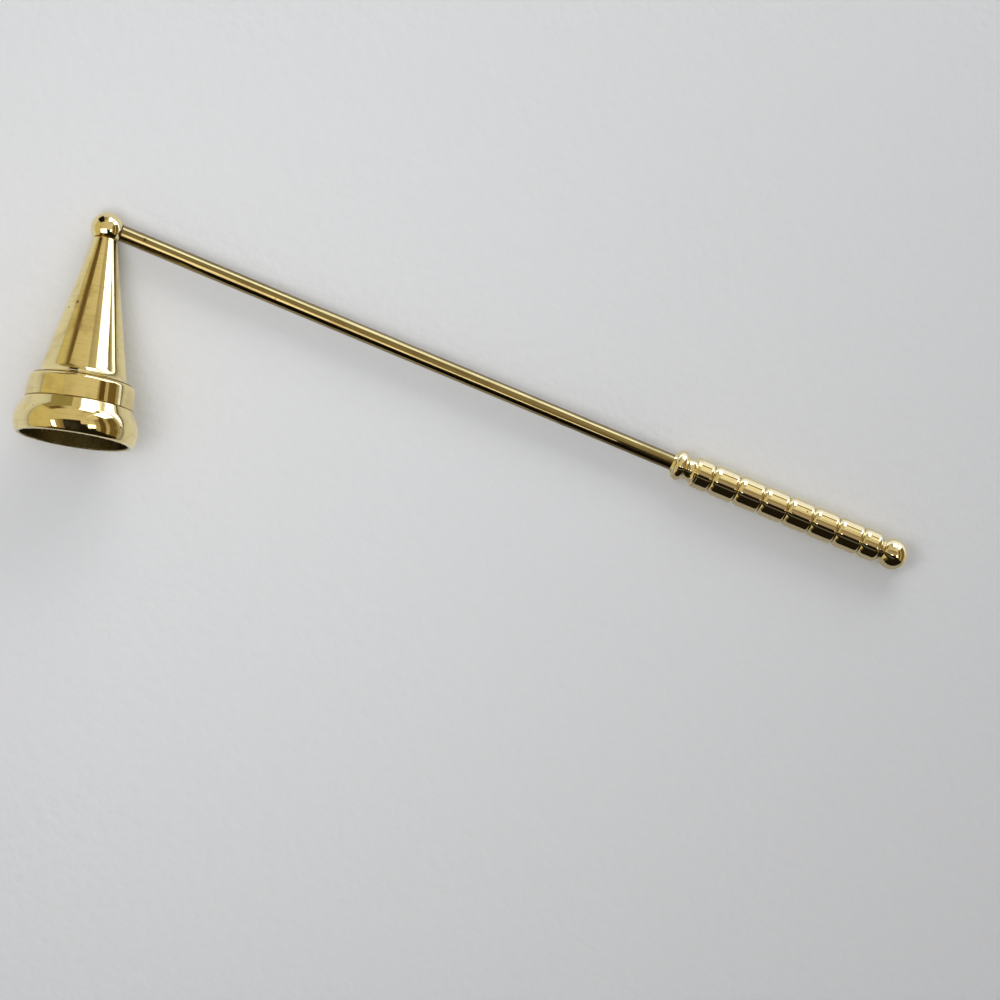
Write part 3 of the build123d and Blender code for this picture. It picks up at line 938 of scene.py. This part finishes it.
# Floor and light: a pale floor in a soft, plain room. The room and two lamps light it evenly, and
# panels that only the metal sees, pale, bright and dark, give polished brass what it mirrors.
floor_colour = (0.80, 0.805, 0.815)
floor_roughness = 0.9
floor_half = 4  # in metres, each way from the middle
nap_scale = 260.0
nap_height = 0.7 * mm
room_colour = (0.40, 0.40, 0.40)
room_left = -1300  # the panels' places are in millimetres, across and up the picture
room_right = 900
room_front = -700
near_up = 530  # the back panels stand this far up the picture on the left
far_up = 1400  # and this far up on the right, where the bright ones are
cupboard_up = near_up - 10
sky_height = 3000  # the overhead panels hang this far up, so all pieces see them alike
lamp_height = sky_height - 40
black = (0.012, 0.009, 0.006)
brown = (0.19, 0.13, 0.05)
dark_brown = (0.14, 0.09, 0.035)
ochre = (0.60, 0.52, 0.28)
buff = (0.56, 0.48, 0.30)
daylight = (3.1, 3.6, 4.6)
lamp_white = (3.2, 3.1, 2.95)
picture_right = Vector((cos(camera_turn), sin(camera_turn), 0))


def picture_place(across, up, height):
    """A place given in millimetres across and up the picture from its middle, and above the floor."""
    return (picture_right * across + picture_up * up + Vector((0, 0, height))) * mm


def lamp(name, place, width, depth, watts):
    """A soft light of this size in millimetres, turned to the middle. It lights the floor and stays out
    of the metal's reflections, which have a panel in its place."""
    light = shown(name, bpy.data.lights.new(name, "AREA"))
    light.data.shape = "RECTANGLE"
    light.data.size = width * mm
    light.data.size_y = depth * mm
    light.data.energy = watts
    facing = (-place).to_track_quat("-Z", "Y").to_matrix().to_4x4()
    light.matrix_world = Matrix.Translation(place) @ facing
    light.visible_glossy = False


def panel(name, corner, wide, high, first, last=None):
    """A glowing flat from a corner, spanned by two ways, that only the metal sees. Its colour passes
    from first to last along wide, or is first all over."""
    mesh = bpy.data.meshes.new(name)
    mesh.from_pydata([corner, corner + wide, corner + wide + high, corner + high], [], [(0, 1, 2, 3)])
    share = mesh.attributes.new("share", "FLOAT", "POINT")
    share.data.foreach_set("value", (0.0, 1.0, 1.0, 0.0))
    material = bpy.data.materials.new(name)
    material.use_nodes = True
    tree = material.node_tree
    tree.nodes.clear()
    across = add(tree, "ShaderNodeAttribute", {}, attribute_name="share").outputs["Fac"]
    colour = add(tree, "ShaderNodeMix", {"Factor": ramped(tree, across, 0.0, 1.0)}, data_type="RGBA")
    colour.inputs["A"].default_value = (*first, 1)
    colour.inputs["B"].default_value = (*(last or first), 1)
    glow = add(tree, "ShaderNodeEmission", {"Color": colour.outputs["Result"]})
    add(tree, "ShaderNodeOutputMaterial", {"Surface": glow.outputs[0]})
    mesh.materials.append(material)
    flat = shown(name, mesh)
    flat.visible_camera = False
    flat.visible_shadow = False
    flat.visible_diffuse = False


def wall(name, start, end, low, high, first, last=None):
    """An upright panel between two spots on the floor, each (across, up), from low to high."""
    corner = picture_place(*start, low)
    wide = picture_place(*end, low) - corner
    panel(name, corner, wide, Vector((0, 0, (high - low) * mm)), first, last)


def overhead(name, across, up, first, last=None, height=sky_height):
    """A level panel overhead. across and up say where it starts and ends, in degrees from upright."""
    left, right, low, high = (height * sin(radians(a)) / cos(radians(a)) for a in (*across, *up))
    wide, deep = picture_right * (right - left) * mm, picture_up * (high - low) * mm
    panel(name, picture_place(left, low, height), wide, deep, first, last)


def level(name, corner, long, wide, colour):
    """A level panel in millimetres from a corner, long along X and wide along Y."""
    panel(name, Vector(corner) * mm, Vector((long, 0, 0)) * mm, Vector((0, wide, 0)) * mm, colour)


# upright panels behind the snuffer on the left, with dark ones before them
wall("wall_low", (-640, near_up), (-3, near_up), 0, 330, buff, (0.60, 0.53, 0.36))
wall("wall_high", (-640, near_up), (80, near_up), 330, 900, buff, (0.66, 0.59, 0.42))
wall("wall_over_window", (80, near_up), (340, near_up), 500, 900, (0.64, 0.57, 0.40), (0.66, 0.58, 0.42))
wall("curtain", (80, near_up), (340, near_up), 330, 500, (0.42, 0.36, 0.24), (0.55, 0.49, 0.36))
wall("wall_left", (room_left, near_up), (-600, near_up), 0, 900, ochre)
wall("cupboard_foot", (-540, cupboard_up), (-110, cupboard_up), 0, 190, (0.30, 0.26, 0.12))
wall("cupboard_end", (-580, cupboard_up), (-460, cupboard_up), 190, 335, (0.54, 0.46, 0.28), dark_brown)
wall("cupboard", (-460, cupboard_up), (-320, cupboard_up), 190, 335, dark_brown)
wall("cupboard_side", (-320, cupboard_up), (-150, cupboard_up), 190, 335, dark_brown, (0.60, 0.52, 0.34))

# further off on the right, two bright panels with a dimmer one between them
wall("window_left", (223, far_up), (925, far_up), 0, 840, daylight)
wall("blind_foot", (925, far_up), (1230, far_up), 0, 375, (1.2, 1.15, 1.05))
wall("blind_bar", (925, far_up), (1230, far_up), 375, 620, (0.09, 0.055, 0.025))
wall("blind", (925, far_up), (1230, far_up), 620, 2300, (0.90, 0.84, 0.66))
wall("window_right", (1230, far_up), (2800, far_up), 0, 1250, daylight)

# upright panels to the right, to the left and in front
right_near, right_front = (room_right, near_up), (room_right, room_front)
wall("right_low", right_near, right_front, 0, 100, (0.40, 0.33, 0.20))
wall("right_brown", right_near, right_front, 100, 450, (0.16, 0.11, 0.04))
wall("right_line", right_near, right_front, 450, 620, (0.50, 0.42, 0.27))
wall("right_door", right_near, right_front, 620, 950, (0.12, 0.07, 0.02))
wall("right_high", right_near, right_front, 950, 1300, (0.38, 0.32, 0.18))
wall("left_wall", (room_left, room_front), (room_left, near_up), 0, 1200, ochre)
wall("front_dark", (-620, room_front), right_front, 0, 1100, black)
wall("front_brown", (room_left, room_front), (-620, room_front), 0, 1100, (0.10, 0.065, 0.025))

# level panels overhead, pale behind and dark in front, with two bright ones for the lamps
overhead("ceiling", (-66, 50), (-4, 62), (0.50, 0.43, 0.24), (0.70, 0.62, 0.45))
overhead("ceiling_right", (50, 72), (-4, 62), brown)
overhead("dark", (-52, 72), (-74, -4), black)
overhead("dark_low", (-72, -52), (-60, -22), (0.05, 0.03, 0.015))
overhead("dark_left", (-72, -52), (-22, -4), (0.42, 0.34, 0.18))
overhead("lamp_left", (-44, -2), (-28, 3), lamp_white, height=lamp_height)
overhead("lamp_left_end", (-2, 3), (-28, -11), (2.4, 2.3, 2.1), black, height=lamp_height)
overhead("lamp_right", (22, 48), (-20, -4), lamp_white, height=lamp_height)

# two small cards close over the bell's foot, which darken its top between the two lamps, and a dark
# one that stands behind the knob
foot_card = picture_place(-139, -12, 90)
foot_card_up = picture_up * 46 * mm
panel("card", foot_card, picture_right * 36 * mm, foot_card_up, black)
panel("card_brown", foot_card, picture_right * -21 * mm, foot_card_up, brown, (0.40, 0.32, 0.16))
wall("knob_card", (-134, 107), (-115, 107), 0, 28, black)

# a dark card close over the grip, with a paler strip that draws the fine line along the barrels, and
# higher up two cards for the brown line beside it
level("grip_card", (40, 8.5, 30), 96, 20.3, black)
level("grip_card_strip", (40, 19.5, 29.5), 96, 3.4, (0.12, 0.11, 0.10))
level("grip_shelf", (62, 29.5, 60), 88, 19.5, (0.38, 0.30, 0.23))
level("grip_shelf_edge", (62, 49, 60), 88, 12, (0.27, 0.22, 0.11))

# just over the floor: the glare beside rod and grip, and the shade on their other side
level("glare_rod", (-60, 64, 0.4), 90, 236, daylight)
level("glare_grip", (30, 48, 0.4), 220, 350, (0.95, 1.02, 1.3))
level("shade", (20, -250, 0.4), 230, 274, (0.34, 0.33, 0.34))

lamp("lamp_over", picture_place(-170, 40, 360), width=260, depth=220, watts=0.56)
lamp("lamp_window", picture_place(250, 680, 380), width=600, depth=350, watts=2.0)

floor_mesh = bpy.data.meshes.new("floor")
floor_corners = [(-floor_half, -floor_half, 0), (floor_half, -floor_half, 0)]
floor_corners += [(floor_half, floor_half, 0), (-floor_half, floor_half, 0)]
floor_mesh.from_pydata(floor_corners, [], [(0, 1, 2, 3)])
shown("floor", floor_mesh)
floor_pale = bpy.data.materials.new("floor_pale")
floor_pale.use_nodes = True
floor_tree = floor_pale.node_tree
floor_shader = floor_tree.nodes["Principled BSDF"]
floor_shader.inputs["Base Color"].default_value = (*floor_colour, 1)
floor_shader.inputs["Roughness"].default_value = floor_roughness
floor_shader.inputs["Specular IOR Level"].default_value = 0.0
floor_place = floor_tree.nodes.new("ShaderNodeTexCoord").outputs["Object"]
nap = add(floor_tree, "ShaderNodeTexNoise", {"Vector": floor_place, "Scale": nap_scale, "Detail": 5.0})
nap_bump = {"Height": nap.outputs["Fac"], "Distance": nap_height, "Strength": 0.5}
floor_bump = add(floor_tree, "ShaderNodeBump", nap_bump)
floor_tree.links.new(floor_bump.outputs["Normal"], floor_shader.inputs["Normal"])
floor_mesh.materials.append(floor_pale)

world = bpy.data.worlds.new("room")
world.use_nodes = True
world.node_tree.nodes["Background"].inputs["Color"].default_value = (*room_colour, 1)
bpy.context.scene.world = world
bpy.context.scene.view_settings.view_transform = "Standard"
